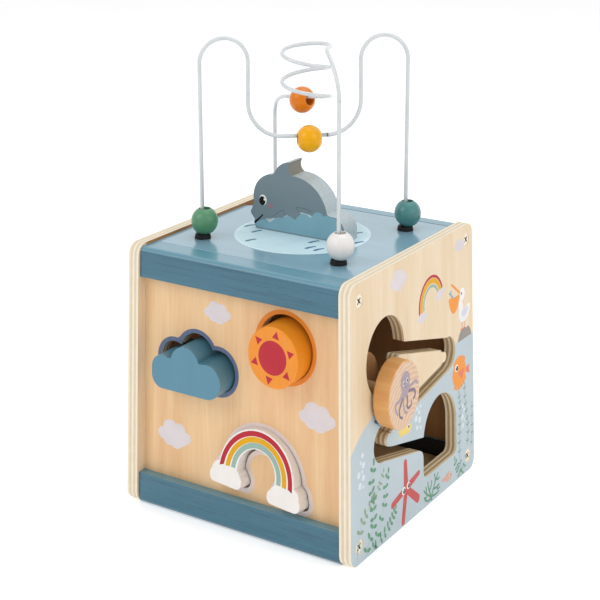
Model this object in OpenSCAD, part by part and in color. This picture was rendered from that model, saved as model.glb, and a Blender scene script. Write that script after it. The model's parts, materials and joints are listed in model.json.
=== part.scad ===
// Wooden play cube: shape sorter front, slot maze side, bead wires and dolphin on a lift-off top.
// Millimetres, +Z up. X runs along the sorter front, the front faces -Y.
// The origin is the centre of the footprint, on the floor.

/* [Case] */
// Overall width across the two side panels
box_w = 186; // [150:1:240]
// Overall depth of the side panels
box_d = 183; // [150:1:240]
// Height of the side panels
box_h = 180; // [140:1:240]
// Thickness of every plywood panel
ply = 9; // [6:0.5:12]
// Radius of the side panels' corners
corner_r = 8; // [3:0.5:15]

/* [Rails] */
// Height of the four cross rails
rail_h = 20.8; // [15:0.1:30]
// Visible depth of the front rails
rail_d = 18.4; // [14:0.1:25]
// Setback of the rails' outer faces from the side panels' edges
rail_inset = 1.8; // [0.5:0.1:5]
// Rounding of the rails' outer edges
rail_round = 4; // [1:0.5:6]
// Depth of the grooves that hold the front, back and floor panels
groove = 4; // [2:0.5:6]

/* [Front panel] */
// Setback of the front panel's face from the side panels' edges
front_inset = 8.7; // [6:0.1:12]
// Gap all round the cloud block in its hole
cloud_gap = 2.7; // [1:0.1:4]
// Gap all round the sun block in its hole
sun_gap = 1.9; // [1:0.1:4]
// Gap all round the rainbow block in its hole
rainbow_gap = 0.9; // [0.7:0.1:3]
// Depth of the three sorting blocks
block_t = 38; // [20:1:45]
// How far the cloud block stands out of the panel
cloud_out = 14.5; // [5:0.5:20]
// How far the sun block stands out of the panel
sun_out = 16; // [5:0.5:20]
// How far the rainbow block stands out of the panel
rainbow_out = 9.5; // [5:0.5:20]

/* [Slot maze] */
// Width of the upper and lower channels
channel_w = 8.4; // [8:0.1:10]
// Width of the middle channel
channel_mid_w = 9.2; // [8:0.1:10]
// Radius of the round start window
window_r = 26.6; // [24:0.1:30]
// Radius of the retrieval arch
arch_r = 26; // [22:0.5:28]

/* [Slider] */
// Radius of the slider's round knob
knob_r = 22; // [18:0.5:23]
// Thickness of the knob
knob_t = 12.5; // [8:0.5:18]
// Gap between the knob and the panel
knob_gap = 2; // [1:0.5:4]
// Radius of the slider's neck
neck_r = 4; // [2.5:0.1:4.1]
// Radius of the disc behind the panel
back_disc_r = 21.5; // [16:0.5:22]
// Gap between the disc and the panel
back_disc_gap = 8.5; // [1:0.5:9]

/* [Top] */
// Drop of the lid's surface below the side panels' top edges
lid_drop = 1.9; // [0:0.1:4]
// Running gap between the lid and the case
lid_gap = 0.3; // [0.2:0.1:0.8]
// Radius of the finger notch in the lid
notch_r = 12; // [8:0.5:16]
// Thickness of the dolphin
dolphin_t = 18; // [12:1:24]

/* [Bead wires] */
// Wire diameter
wire_d = 3; // [2.5:0.1:4]
// Bead diameter
bead_d = 20; // [16:0.5:24]
// Bead hole diameter
bead_hole_d = 8; // [5:0.5:9]
// Half of the distance between a wire's two feet
foot_reach = 76; // [70:0.5:78]
// Outward lean of the legs over their straight length
leg_lean = 3; // [0:0.1:5]
// Radius of the two humps of the wave wire
hump_r = 18.1; // [14:0.1:20]
// Radius of the valley corners of the wave wire
valley_r = 26; // [20:0.5:30]
// Height of the wave wire's valley above the floor
valley_z = 250; // [240:1:260]
// Radius of the spiral
spiral_r = 18; // [14:0.5:20]
// Turns of the spiral
spiral_turns = 2; // [1:1:3]

/* [Hidden] */
$fn = 64;

birch = [0.93, 0.83, 0.68];
birch_warm = [0.86, 0.71, 0.52];
blue = [0.36, 0.60, 0.70];
steel = [0.72, 0.73, 0.75];
white_wire = [0.82, 0.85, 0.86];

// Case geometry
half_w = box_w / 2;
half_d = box_d / 2;
inner_w = box_w - 2 * ply;
front_y = -half_d + front_inset;
back_y = -front_y;
rail_y = half_d - rail_inset;
lid_z = box_h - lid_drop;
lid_bottom_z = lid_z - ply;
rail_top_z0 = lid_z - rail_h;
lid_ledge = 4.7;
lid_y0 = -rail_y + rail_d;
lid_y1 = rail_y - rail_d + lid_ledge;
panel_z0 = rail_h - groove;
panel_z1 = rail_top_z0 + groove;
floor_top_z = ply;
floor_y = rail_y - rail_d + groove;
touch = 0.05;

// Screws through the side panels into the rail ends, as [y, z]
screw_spots = [[-79.5, 168], [81, 169], [-80.5, 11], [80.5, 11]];
screw_r = 2;
screw_head_r = 4.5;
screw_head_h = 3;
screw_len = 38;
// Depth of the head's face below the panel, and the clearance round the screw
screw_sink = 0.3;
screw_gap = 0.1;

// Sorting holes: centres on the front panel, as [x, z]
sun_at = [36.6, 128.1];
sun_hole_r = 22.1;
cloud_at = [-37, 86.8];
// Discs that fill the notches between the cloud block's bumps
cloud_left_notch = [-13.6, 18.2];
cloud_right_notch = [12, 18.9];
cloud_notch_r = 6.6;
rainbow_at = [18.4, 39.1];
rainbow_tilt = 4.8;
// The rainbow block leans nose up in its hole, because its centre of mass is behind the panel
rainbow_lean = 8;
rainbow_r = 31.9;
rainbow_inner_r = 14.4;
rainbow_rise = 2.9;

// Slot maze, as [y, z] on the side panel
window_at = [-44, 121.4];
arch_at = [36, 44];
arch_floor_z = 20;

// Slider rest: the neck lies on the lowest point of the window
slider_z = window_at[1] - window_r + neck_r + touch;
back_disc_t = 8;
knob_x0 = half_w + knob_gap;
back_disc_x0 = half_w - ply - back_disc_gap - back_disc_t;
// How far the neck goes into the knob, and how much of the disc it leaves solid
neck_socket = 8;
neck_stop = 2;

// Wires
wire_r = wire_d / 2;
bead_r = bead_d / 2;
hole_r = bead_hole_d / 2;
bead_half = sqrt(bead_r * bead_r - hole_r * hole_r);
wires_at = [-1, 2];
wave_turn = 39.76;
spiral_turn = 140.15;
grommet_h = 3.2;
grommet_r = 6.2;
sleeve_r = 4;
sleeve_len = 7;
hump_z = 305;
lean = atan(leg_lean / (hump_z - lid_z));
leg_top_z = hump_z - hump_r * sin(lean);
function leg_reach(z) = foot_reach + (z - lid_z) * tan(lean);
hump_x = leg_reach(leg_top_z) - hump_r * cos(lean);
inner_leg = hump_x - hump_r;
bead_rest = lid_z + grommet_h + touch;

// ---------- helpers ----------

// Extrude a (y, z) outline along X, centred on x
module along_x(x, length) {
  translate([x, 0, 0]) rotate([90, 0, 90]) linear_extrude(length, center = true) children();
}

// Extrude an (x, z) outline along Y from y0 towards +Y
module along_y(y0, length) {
  translate([0, y0 + length, 0]) rotate([90, 0, 0]) linear_extrude(length) children();
}

module rounded_rect(w, h, r) {
  square([w - 2 * r, h], center = true);
  square([w, h - 2 * r], center = true);
  for (sx = [-1, 1], sy = [-1, 1]) {
    translate([sx * (w / 2 - r), sy * (h / 2 - r)]) circle(r);
  }
}

// Straight band of width w from point p to point q, with round ends
module band(p, q, w) {
  len_pq = norm(q - p);
  translate(p) rotate(atan2(q[1] - p[1], q[0] - p[0])) translate([0, -w / 2]) square([len_pq, w]);
  translate(p) circle(w / 2);
  translate(q) circle(w / 2);
}

// Round rod between two points in space
module rod(p, q, r) {
  d = q - p;
  translate(p)
    rotate([0, acos(d[2] / norm(d)), atan2(d[1], d[0])])
      cylinder(r = r, h = norm(d));
}

// Bent round rod: an arc of radius bend in the local XZ plane, centred at the origin
module bend(bend_r, from_deg, sweep_deg, r) {
  rotate([90, 0, 0])
    rotate([0, 0, from_deg])
      rotate_extrude(angle = sweep_deg, $fn = 96)
        translate([bend_r, 0]) circle(r, $fn = 32);
}

// ---------- case ----------

module side_outline() {
  translate([0, box_h / 2]) rounded_rect(box_d, box_h, corner_r);
}

module screw_holes_2d(r) {
  for (s = screw_spots) {
    translate(s) circle(r);
  }
}

// Countersinks cut into a side panel's outer face; side is +1 right, -1 left
module countersinks(side) {
  for (s = screw_spots) {
    translate([side * (half_w - screw_sink), s[0], s[1]]) rotate([0, side * 90, 0]) {
      translate([0, 0, -screw_head_h])
        cylinder(r1 = screw_r + screw_gap, r2 = screw_head_r + screw_gap, h = screw_head_h);
      cylinder(r = screw_head_r + screw_gap, h = screw_sink + 1);
    }
  }
}

// Rounded ends of the two lands between the channels
module land_ends() {
  translate([43.3, 94]) circle(3.4);
  polygon([[30, 90], [43, 90.9], [44.5, 97], [30, 101.5]]);
  translate([-39.5, 64.7]) circle(4.2);
  polygon([[-39.5, 67.8], [-39.5, 61.4], [-28, 59], [-28, 69.5]]);
}

// Arch with a flat sill and eased lower corners
module arch_outline() {
  ease = 5;
  left = arch_at[0] - arch_r;
  difference() {
    translate(arch_at) circle(arch_r);
    translate([left - 1, arch_at[1] - arch_r - 1]) square([2 * arch_r + 2, arch_r + 1]);
  }
  translate([left, arch_floor_z + ease]) square([2 * arch_r, arch_at[1] - arch_floor_z - ease]);
  translate([left + ease, arch_floor_z]) square([2 * (arch_r - ease), ease]);
  for (y = [left + ease, left + 2 * arch_r - ease]) {
    translate([y, arch_floor_z + ease]) circle(ease);
  }
}

// Round start window; the land under the upper channel reaches into its lower right
module window_outline() {
  land_y = -27;
  land_z = 113.6;
  tip_r = 3;
  difference() {
    translate(window_at) circle(window_r);
    translate([land_y, land_z - window_r]) square([window_r, window_r]);
    translate([land_y + tip_r, land_z]) circle(tip_r);
    polygon([[land_y + tip_r, land_z - 1], [land_y + tip_r, land_z + 2.9], [-14, 118], [-14, land_z - 1]]);
  }
}

// Closed outline of the slot maze: window, three channels, two turns and the arch
module maze_outline() {
  window_outline();
  difference() {
    union() {
      band([-36, 123.9], [50, 101.6], channel_w);
      translate([49.5, 94.6]) circle(11.9);
      band([49.3, 86.8], [-49, 72.2], channel_mid_w);
      translate([-48.8, 65.6]) circle(12.2);
      band([-49, 57.8], [16, 43.2], channel_w);
    }
    land_ends();
  }
  arch_outline();
  // eased corner where the lower channel opens into the arch
  difference() {
    translate([3, 34.5]) square([8, 9]);
    translate([3, 34.5]) circle(7);
  }
}

module right_side_panel() {
  color(birch) difference() {
    along_x(half_w - ply / 2, ply) difference() {
      side_outline();
      maze_outline();
      screw_holes_2d(screw_r + screw_gap);
    }
    countersinks(1);
  }
}

module left_side_panel() {
  color(birch) difference() {
    along_x(-half_w + ply / 2, ply) difference() {
      side_outline();
      screw_holes_2d(screw_r + screw_gap);
    }
    countersinks(-1);
  }
}

// Cross-section of a rail with its outer edge rounded; the outer face is at x = 0
module rail_profile(depth, round_top) {
  difference() {
    square([depth, rail_h]);
    translate([0, round_top ? rail_h - rail_round : 0]) difference() {
      translate([-1, round_top ? 0 : -1]) square([rail_round + 1, rail_round + 1]);
      translate([rail_round, round_top ? 0 : rail_round]) circle(rail_round);
    }
  }
}

module pilot_holes(spot) {
  for (side = [-1, 1]) {
    translate([side * (inner_w / 2 - 32), spot[0], spot[1]])
      rotate([0, side * 90, 0])
        cylinder(r = screw_r + 0.02, h = 33);
  }
}

module top_front_rail() {
  color(blue) difference() {
    along_x(0, inner_w) difference() {
      translate([-rail_y, rail_top_z0]) rail_profile(rail_d + lid_ledge, true);
      translate([front_y, rail_top_z0 - 1]) square([ply, groove + 1]);
      translate([lid_y0, lid_bottom_z]) square([lid_ledge + 1, ply + 1]);
    }
    pilot_holes(screw_spots[0]);
  }
}

module top_back_rail() {
  color(blue) difference() {
    along_x(0, inner_w) difference() {
      translate([rail_y, rail_top_z0]) mirror([1, 0]) rail_profile(rail_d, true);
      translate([back_y - ply, rail_top_z0 - 1]) square([ply, groove + 1]);
      translate([lid_y1 - lid_ledge - 1, lid_bottom_z]) square([lid_ledge + 1, ply + 1]);
    }
    pilot_holes(screw_spots[1]);
  }
}

module bottom_rail_section() {
  difference() {
    rail_profile(rail_d, false);
    translate([front_y + rail_y, panel_z0]) square([ply, groove + 1]);
    translate([rail_d - groove, -1]) square([groove + 1, floor_top_z + 1]);
  }
}

module bottom_front_rail() {
  color(blue) difference() {
    along_x(0, inner_w) translate([-rail_y, 0]) bottom_rail_section();
    pilot_holes(screw_spots[2]);
  }
}

module bottom_back_rail() {
  color(blue) difference() {
    along_x(0, inner_w) translate([rail_y, 0]) mirror([1, 0]) bottom_rail_section();
    pilot_holes(screw_spots[3]);
  }
}

// One countersunk wood screw with a cross recess; head face at the origin, shank towards -Z
module wood_screw() {
  difference() {
    union() {
      translate([0, 0, -screw_head_h]) cylinder(r1 = screw_r, r2 = screw_head_r, h = screw_head_h);
      translate([0, 0, -screw_len + 5]) cylinder(r = screw_r, h = screw_len - 5);
      translate([0, 0, -screw_len]) cylinder(r1 = 0.4, r2 = screw_r, h = 5);
    }
    for (a = [45, 135]) {
      rotate(a) translate([0, 0, -1]) cube([5.2, 1.1, 2.4], center = true);
    }
  }
}

module side_screws(side) {
  color(steel) for (s = screw_spots) {
    translate([side * (half_w - screw_sink), s[0], s[1]]) rotate([0, side * 90, 0]) wood_screw();
  }
}

module right_side_screws() {
  side_screws(1);
}

module left_side_screws() {
  side_screws(-1);
}

module back_panel() {
  color(birch) along_y(back_y - ply, ply)
    translate([0, (panel_z0 + panel_z1) / 2]) square([inner_w, panel_z1 - panel_z0], center = true);
}

module floor_panel() {
  color(birch_warm) translate([-inner_w / 2, -floor_y, 0])
    cube([inner_w, 2 * floor_y, ply]);
}

// ---------- sorting holes and blocks ----------

// Cloud outline with its flat base at z = 0; shrink pulls every edge inwards
module cloud_outline(shrink) {
  translate([-20.4, 16.2]) circle(12 - shrink);
  translate([-1, 22]) circle(15 - shrink);
  translate([17.9, 14.4]) circle(14.3 - shrink);
  translate([-20.4, 12]) circle(12 - shrink);
  translate([-20.4, shrink]) square([38.3, 17 - shrink]);
  translate([-32.4 + shrink, 12]) square([20, 4.2]);
}

// Rainbow outline about the arch centre, feet downwards
module rainbow_outline(shrink) {
  inner = rainbow_inner_r + shrink;
  difference() {
    circle(rainbow_r - shrink);
    translate([0, rainbow_rise]) circle(inner);
    translate([-inner, -40]) square([2 * inner, 40 + rainbow_rise]);
    translate([-50, -46]) square([100, 40]);
  }
  rainbow_feet(shrink);
}

// Two cloud feet: a flat base with two bumps each
module rainbow_feet(shrink) {
  for (s = [-1, 1]) {
    translate([s * 23.8, -7]) {
      rounded_rect(28.3 - 2 * shrink, 11.2 - 2 * shrink, 5.2 - shrink);
      translate([s * 5.6, 3.6]) circle(7.4 - shrink);
      translate([-s * 6, 2.4]) circle(6.4 - shrink);
    }
  }
}

module rainbow_place() {
  rotate(-rainbow_tilt) children();
}

module front_panel() {
  color(birch_warm) along_y(front_y, ply) difference() {
    translate([0, (panel_z0 + panel_z1) / 2]) square([inner_w, panel_z1 - panel_z0], center = true);
    translate(sun_at) circle(sun_hole_r);
    translate(cloud_at) cloud_outline(0);
    translate(rainbow_at) rainbow_place() rainbow_outline(0);
  }
}

// A loose block rests on the lower edge of its hole
module cloud_block() {
  color([0.39, 0.56, 0.64]) along_y(front_y - cloud_out, block_t)
    translate([cloud_at[0], cloud_at[1] - cloud_gap + touch]) {
      cloud_outline(cloud_gap);
      translate(cloud_left_notch) circle(cloud_notch_r);
      translate(cloud_right_notch) circle(cloud_notch_r);
    }
}

module sun_block() {
  color([0.95, 0.60, 0.20]) along_y(front_y - sun_out, block_t)
    translate([sun_at[0], sun_at[1] - sun_gap + touch]) circle(sun_hole_r - sun_gap);
}

module rainbow_block() {
  color([0.94, 0.93, 0.91]) translate([rainbow_at[0] - 0.25, front_y + ply / 2, rainbow_at[1] - 0.08])
    rotate([-rainbow_lean, 0, 0])
      along_y(-ply / 2 - rainbow_out, block_t) rainbow_place() rainbow_outline(rainbow_gap);
}

// ---------- maze slider ----------

module slider_disc(x0, r, t, edge) {
  translate([x0, window_at[0], slider_z]) rotate([0, 90, 0]) {
    difference() {
      union() {
        cylinder(r1 = r - edge, r2 = r, h = edge);
        translate([0, 0, edge]) cylinder(r = r, h = t - 2 * edge);
        translate([0, 0, t - edge]) cylinder(r1 = r, r2 = r - edge, h = edge);
      }
      children();
    }
  }
}

module slider_knob() {
  color([0.87, 0.68, 0.44]) slider_disc(knob_x0, knob_r, knob_t, 0.6)
    translate([0, 0, -1]) cylinder(r = neck_r, h = neck_socket + 1);
}

module slider_neck() {
  neck_x0 = back_disc_x0 + neck_stop;
  color([0.90, 0.78, 0.60]) translate([neck_x0, window_at[0], slider_z])
    rotate([0, 90, 0]) cylinder(r = neck_r, h = knob_x0 + neck_socket - neck_x0);
}

module slider_back_disc() {
  color([0.88, 0.76, 0.58]) slider_disc(back_disc_x0, back_disc_r, back_disc_t, 0.6)
    translate([0, 0, neck_stop]) cylinder(r = neck_r, h = back_disc_t);
}

// ---------- lid ----------

// The four wire feet, as [x, y]
function foot(turn, s) = [wires_at[0] + s * cos(turn), wires_at[1] + s * sin(turn)];
feet = [
  foot(wave_turn, -foot_reach),
  foot(wave_turn, foot_reach),
  foot(spiral_turn, -foot_reach),
  foot(spiral_turn, foot_reach)
];
dolphin_y = -5;
dowel_spots = [[-24, dolphin_y + dolphin_t / 2], [18, dolphin_y + dolphin_t / 2]];
dowel_r = 3;
dowel_half = 7;

module top_panel() {
  color(blue) translate([0, 0, lid_bottom_z]) linear_extrude(ply) difference() {
    translate([-inner_w / 2 + lid_gap, lid_y0 + lid_gap])
      square([inner_w - 2 * lid_gap, lid_y1 - lid_y0 - 2 * lid_gap]);
    translate([-inner_w / 2, 56]) circle(notch_r);
    for (f = feet) {
      translate(f) circle(sleeve_r);
    }
    for (d = dowel_spots) {
      translate(d) circle(dowel_r);
    }
  }
}

// Black bush: flange above the lid, sleeve in the hole, gripping the wire
module grommet() {
  difference() {
    union() {
      cylinder(r1 = grommet_r, r2 = grommet_r - 0.7, h = grommet_h);
      translate([0, 0, -sleeve_len]) cylinder(r = sleeve_r, h = sleeve_len);
    }
    translate([0, 0, -sleeve_len + 1]) cylinder(r = wire_r, h = sleeve_len + grommet_h);
  }
}

module wire_grommets() {
  color([0.08, 0.08, 0.08]) for (f = feet) {
    translate([f[0], f[1], lid_z]) grommet();
  }
}

// Straight leg from inside its bush up to height z, leaning outwards; side is -1 or +1
module leg(side, z) {
  z0 = lid_z - sleeve_len + 1;
  rod([side * leg_reach(z0), 0, z0], [side * leg_reach(z), 0, z], wire_r);
}

// Slight swelling where two stretches of wire meet
module swell(p) {
  translate(p) sphere(wire_r + 0.03);
}

module wave_wire() {
  color(white_wire) translate([wires_at[0], wires_at[1], 0]) rotate(wave_turn) {
    for (s = [-1, 1]) {
      leg(s, leg_top_z);
      mirror([s < 0 ? 1 : 0, 0, 0]) {
        // hump, inner leg and valley corner
        translate([hump_x, 0, hump_z]) bend(hump_r, -lean, 180 + lean, wire_r);
        rod([inner_leg, 0, valley_z + valley_r], [inner_leg, 0, hump_z], wire_r);
        translate([inner_leg - valley_r, 0, valley_z + valley_r]) bend(valley_r, -90, 90, wire_r);
        swell([leg_reach(leg_top_z), 0, leg_top_z]);
        swell([inner_leg, 0, hump_z]);
        swell([inner_leg, 0, valley_z + valley_r]);
        swell([inner_leg - valley_r, 0, valley_z]);
      }
    }
    rod([-inner_leg + valley_r, 0, valley_z], [inner_leg - valley_r, 0, valley_z], wire_r);
  }
}

// Spiral wire. Its freely bent middle is swept along a computed path.
spiral_at = [1, 0.8];
look_turn = 32.44;
first_top_z = 290;
last_top_z = 250;
spiral_top_z = 316.5;
spiral_pitch = 21.3;

// Point given by its offset to the right and to the back of the spiral's axis
function place(r, b, z) = [
  spiral_at[0] + r * cos(look_turn) - b * sin(look_turn),
  spiral_at[1] + r * sin(look_turn) + b * cos(look_turn),
  z
];
function leg_point(side, z) =
  let (reach = side * leg_reach(z))
  [wires_at[0] + reach * cos(spiral_turn), wires_at[1] + reach * sin(spiral_turn), z];
function bezier(p, t) =
  p[0] * pow(1 - t, 3) + 3 * p[1] * t * pow(1 - t, 2) + 3 * p[2] * t * t * (1 - t) + p[3] * pow(t, 3);
// The first half turn drops slowly, the rest at the full pitch
function spiral_z(u) = spiral_top_z - spiral_pitch * (u < 0.5 ? u * u : u - 0.25);
function spiral_point(u) = place(spiral_r * cos(360 * u), spiral_r * sin(360 * u), spiral_z(u));

first_top = leg_point(-1, first_top_z);
last_top = leg_point(1, last_top_z);
saddle = place(14.8, -45, 320.3);
spiral_end = spiral_turns + 0.125;
run_start = spiral_point(spiral_end);
run_dir = place(-0.66, 0.74, 0) - place(0, 0, 0) + [0, 0, -0.14];
run_len = 40;
run_end = run_start + run_len * run_dir / norm(run_dir);
lead_in = [first_top, first_top + [0, 0, 18], saddle - (place(-0.3, 13, 0) - place(0, 0, 0)), saddle];
lead_on = [
  saddle,
  saddle + (place(-0.4, 17, 0) - place(0, 0, 0)),
  spiral_point(0) + (place(0, -15, 0) - place(0, 0, 0)),
  spiral_point(0)
];
lead_out = [run_end, run_end + 9 * run_dir / norm(run_dir), last_top + [0, 0, 15], last_top];

spiral_path = concat(
  [for (i = [0:9]) bezier(lead_in, i / 10)],
  [for (i = [0:9]) bezier(lead_on, i / 10)],
  [for (i = [0:1:spiral_end * 32 - 1]) spiral_point(i / 32)],
  [run_start]
);
tail_path = [for (i = [0:12]) bezier(lead_out, i / 12)];

// Sweep a round section along a path; ref is never parallel to the path
function unit(v) = v / norm(v);
function heading(path, i) = unit(path[min(i + 1, len(path) - 1)] - path[max(i - 1, 0)]);
function ring(path, i, r, n, ref) =
  let (t = heading(path, i), a = unit(cross(t, ref)), b = cross(t, a))
  [for (k = [0:n - 1]) path[i] + r * (cos(360 * k / n) * a + sin(360 * k / n) * b)];

module swept_wire(path, r) {
  n = 12;
  last = len(path) - 1;
  points = [for (i = [0:last]) each ring(path, i, r, n, [0.35, 0.61, 0.71])];
  sides = [
    for (i = [0:last - 1], k = [0:n - 1])
      let (a = i * n + k, b = i * n + (k + 1) % n)
      each [[a, b + n, b], [a, a + n, b + n]]
  ];
  caps = [[for (k = [0:n - 1]) k], [for (k = [n - 1:-1:0]) last * n + k]];
  polyhedron(points, concat(sides, caps), convexity = 10);
}

module spiral_wire() {
  color(white_wire) {
    translate([wires_at[0], wires_at[1], 0]) rotate(spiral_turn) {
      leg(-1, first_top_z);
      leg(1, last_top_z);
    }
    swept_wire(spiral_path, wire_r);
    rod(run_start, run_end, wire_r);
    swept_wire(tail_path, wire_r);
  }
}

// ---------- beads ----------

// Bead with its hole along dir, centred on point p
module bead(p, dir) {
  translate(p) rotate([0, acos(dir[2] / norm(dir)), atan2(dir[1], dir[0])]) {
    rotate_extrude($fn = 96) difference() {
      circle(bead_r, $fn = 96);
      translate([-2 * bead_r, -2 * bead_r]) square([2 * bead_r, 4 * bead_r]);
      translate([-1, -2 * bead_r]) square([hole_r + 1, 4 * bead_r]);
    }
  }
}

// A bead standing on its bush hangs to one side of the leg; offset is along [cos, sin] of look_turn
function standing(turn, side, offset) =
  let (reach = side * leg_reach(bead_rest + bead_half))
  [
    wires_at[0] + reach * cos(turn) + offset * cos(look_turn),
    wires_at[1] + reach * sin(turn) + offset * sin(look_turn),
    bead_rest + bead_half
  ];
hang = hole_r - wire_r - touch;
bead_slack = 1.6;
orange_at = 24;

module green_bead() {
  color([0.37, 0.68, 0.49]) bead(standing(wave_turn, -1, bead_slack), [0, 0, 1]);
}

module teal_bead() {
  color([0.30, 0.61, 0.60]) bead(standing(wave_turn, 1, bead_slack), [0, 0, 1]);
}

module white_bead() {
  color([0.95, 0.94, 0.93]) bead(standing(spiral_turn, -1, bead_slack - 0.4), [0, 0, 1]);
}

module yellow_bead() {
  at = foot(wave_turn, 3.5);
  color([0.96, 0.73, 0.04]) bead([at[0], at[1], valley_z - hang], [cos(wave_turn), sin(wave_turn), 0]);
}

module orange_bead() {
  side_dir = unit(cross(run_dir, [0, 0, 1]));
  drop = unit(cross(run_dir, side_dir));
  down = drop[2] < 0 ? drop : -drop;
  color([0.93, 0.54, 0.07]) bead(run_start + orange_at * unit(run_dir) + hang * down, run_dir);
}

// ---------- dolphin ----------

// Points on a quarter or part circle, for the profile
function arc(c, rx, rz, a0, a1, n) =
  [for (i = [0:n]) let (a = a0 + (a1 - a0) * i / n) [c[0] + rx * cos(a), c[1] + rz * sin(a)]];

// Leaping dolphin above a wave, as (x, z) with z = 0 on the lid: jaw, beak, head, fin, back, tail
function dolphin_profile() = concat(
  [[-39.5, 0], [-41.2, 1.8], [-41.7, 4], [-41.3, 6.4]],
  arc([-42.3, 11.7], 2.8, 2.8, 240, 125, 6),
  arc([-24.5, 23.5], 18.2, 18.1, 193, 93, 12),
  arc([-9.5, 36], 15.8, 16.2, 155, 93, 8),
  arc([-5, 48], 6.3, 6.3, 140, 220, 6),
  arc([-7, 13], 30.2, 29.6, 92, 11, 16),
  arc([27.3, 6.5], 10.3, 11.3, 100, -10, 10),
  [[37.5, 0]]
);

module dolphin() {
  color([0.43, 0.49, 0.55]) translate([0, 0, lid_z]) difference() {
    along_y(dolphin_y, dolphin_t) polygon(dolphin_profile());
    for (d = dowel_spots) {
      translate([d[0], d[1], -1]) cylinder(r = dowel_r, h = dowel_half + 2);
    }
  }
}

module dolphin_dowels() {
  color(birch) for (d = dowel_spots) {
    translate([d[0], d[1], lid_z - dowel_half]) cylinder(r = dowel_r, h = 2 * dowel_half);
  }
}

right_side_panel();
left_side_panel();
front_panel();
back_panel();
floor_panel();
top_front_rail();
top_back_rail();
bottom_front_rail();
bottom_back_rail();
right_side_screws();
left_side_screws();
top_panel();
wire_grommets();
wave_wire();
spiral_wire();
dolphin();
dolphin_dowels();
cloud_block();
sun_block();
rainbow_block();
slider_knob();
slider_neck();
slider_back_disc();
green_bead();
teal_bead();
white_bead();
yellow_bead();
orange_bead();
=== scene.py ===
"""Looks of the wooden play cube: softened wood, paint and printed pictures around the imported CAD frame."""

import json
import math

import bmesh
import bpy
from mathutils import Matrix, Vector
from mathutils.geometry import tessellate_polygon

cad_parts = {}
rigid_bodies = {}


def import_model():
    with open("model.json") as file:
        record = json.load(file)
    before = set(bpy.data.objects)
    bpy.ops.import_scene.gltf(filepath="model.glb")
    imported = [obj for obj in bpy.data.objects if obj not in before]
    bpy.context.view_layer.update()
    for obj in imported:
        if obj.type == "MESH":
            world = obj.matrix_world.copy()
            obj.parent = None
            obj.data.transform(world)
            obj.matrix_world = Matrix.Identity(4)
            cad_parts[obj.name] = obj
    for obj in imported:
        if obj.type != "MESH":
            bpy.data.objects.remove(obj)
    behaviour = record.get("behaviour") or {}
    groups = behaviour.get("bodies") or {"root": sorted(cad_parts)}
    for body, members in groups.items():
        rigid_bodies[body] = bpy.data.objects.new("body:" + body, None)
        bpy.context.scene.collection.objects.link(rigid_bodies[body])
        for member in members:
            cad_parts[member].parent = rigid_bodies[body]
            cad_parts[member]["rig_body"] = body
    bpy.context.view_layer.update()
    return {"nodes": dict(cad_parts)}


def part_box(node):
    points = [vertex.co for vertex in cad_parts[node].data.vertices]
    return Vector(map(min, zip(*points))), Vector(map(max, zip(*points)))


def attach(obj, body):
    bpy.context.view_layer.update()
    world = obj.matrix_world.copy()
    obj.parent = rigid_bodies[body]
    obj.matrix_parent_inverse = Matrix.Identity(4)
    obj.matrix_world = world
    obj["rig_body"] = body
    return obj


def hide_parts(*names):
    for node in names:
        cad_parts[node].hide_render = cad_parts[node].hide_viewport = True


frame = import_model()
nodes = frame["nodes"]
MM = 0.001
X, Y, Z = 0, 1, 2

# ---------------------------------------------------------------- sizes read from the frame (mm)


def span(node):
    """Lowest and highest corner of a CAD node, in millimetres."""
    lo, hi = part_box(node)
    return Vector(lo) / MM, Vector(hi) / MM


SIDE_LO, SIDE_HI = span("right_side_panel")
DOLPHIN_LO, DOLPHIN_HI = span("dolphin")
FACE_X = SIDE_HI.x
FACE_Y = span("front_panel")[0].y
KNOB_X = span("slider_knob")[1].x
LID_Z = span("top_panel")[1].z
PLY = SIDE_HI.x - SIDE_LO.x
# Chosen, not read: veneers in a panel, depth of a screw's recess (mm), reach of a weld (m)
VENEERS = 5
SCREW_RECESS = 0.5
WELD = 2e-6

# ---------------------------------------------------------------- material graphs


def rgb(code):
    """Linear colour from an sRGB hex code."""
    parts = [int(code[i : i + 2], 16) / 255 for i in (1, 3, 5)]
    return [c / 12.92 if c <= 0.04045 else ((c + 0.055) / 1.055) ** 2.4 for c in parts] + [1.0]


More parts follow.
